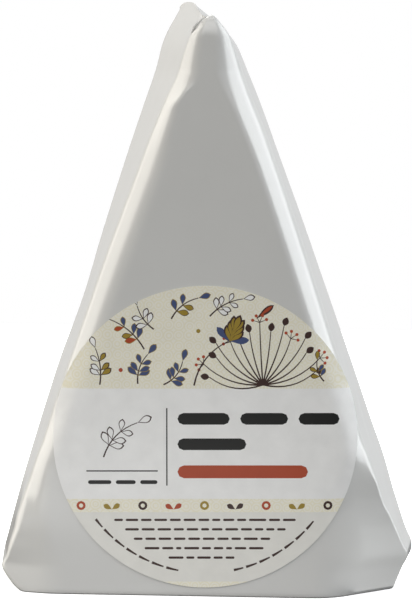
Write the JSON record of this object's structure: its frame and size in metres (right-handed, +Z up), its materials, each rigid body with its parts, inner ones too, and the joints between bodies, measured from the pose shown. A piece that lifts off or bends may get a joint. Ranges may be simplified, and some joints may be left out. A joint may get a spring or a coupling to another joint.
{
  "type": "wrapped cheese wedge",
  "caption": "Wedge of soft white-rind cheese in a folded glossy paper wrapper with a round printed sticker, standing on its folded end.",
  "frame": {"origin": "middle of the flat base that the wrapped wedge stands on", "axes": "+Z up, from the folded base to the thin end of the wedge; +X to the right of someone facing the sticker; -Y out of the face with the sticker"},
  "size_m": [0.0983, 0.0331, 0.136],
  "materials": {
    "wrapper_paper": "satin",
    "cheese": "matte",
    "sticker_paper": "satin"
  },
  "bodies": {
    "root": {"wrapper": "wrapper_paper", "cheese_wedge": "cheese", "sticker": "sticker_paper"}
  },
  "joints": []
}
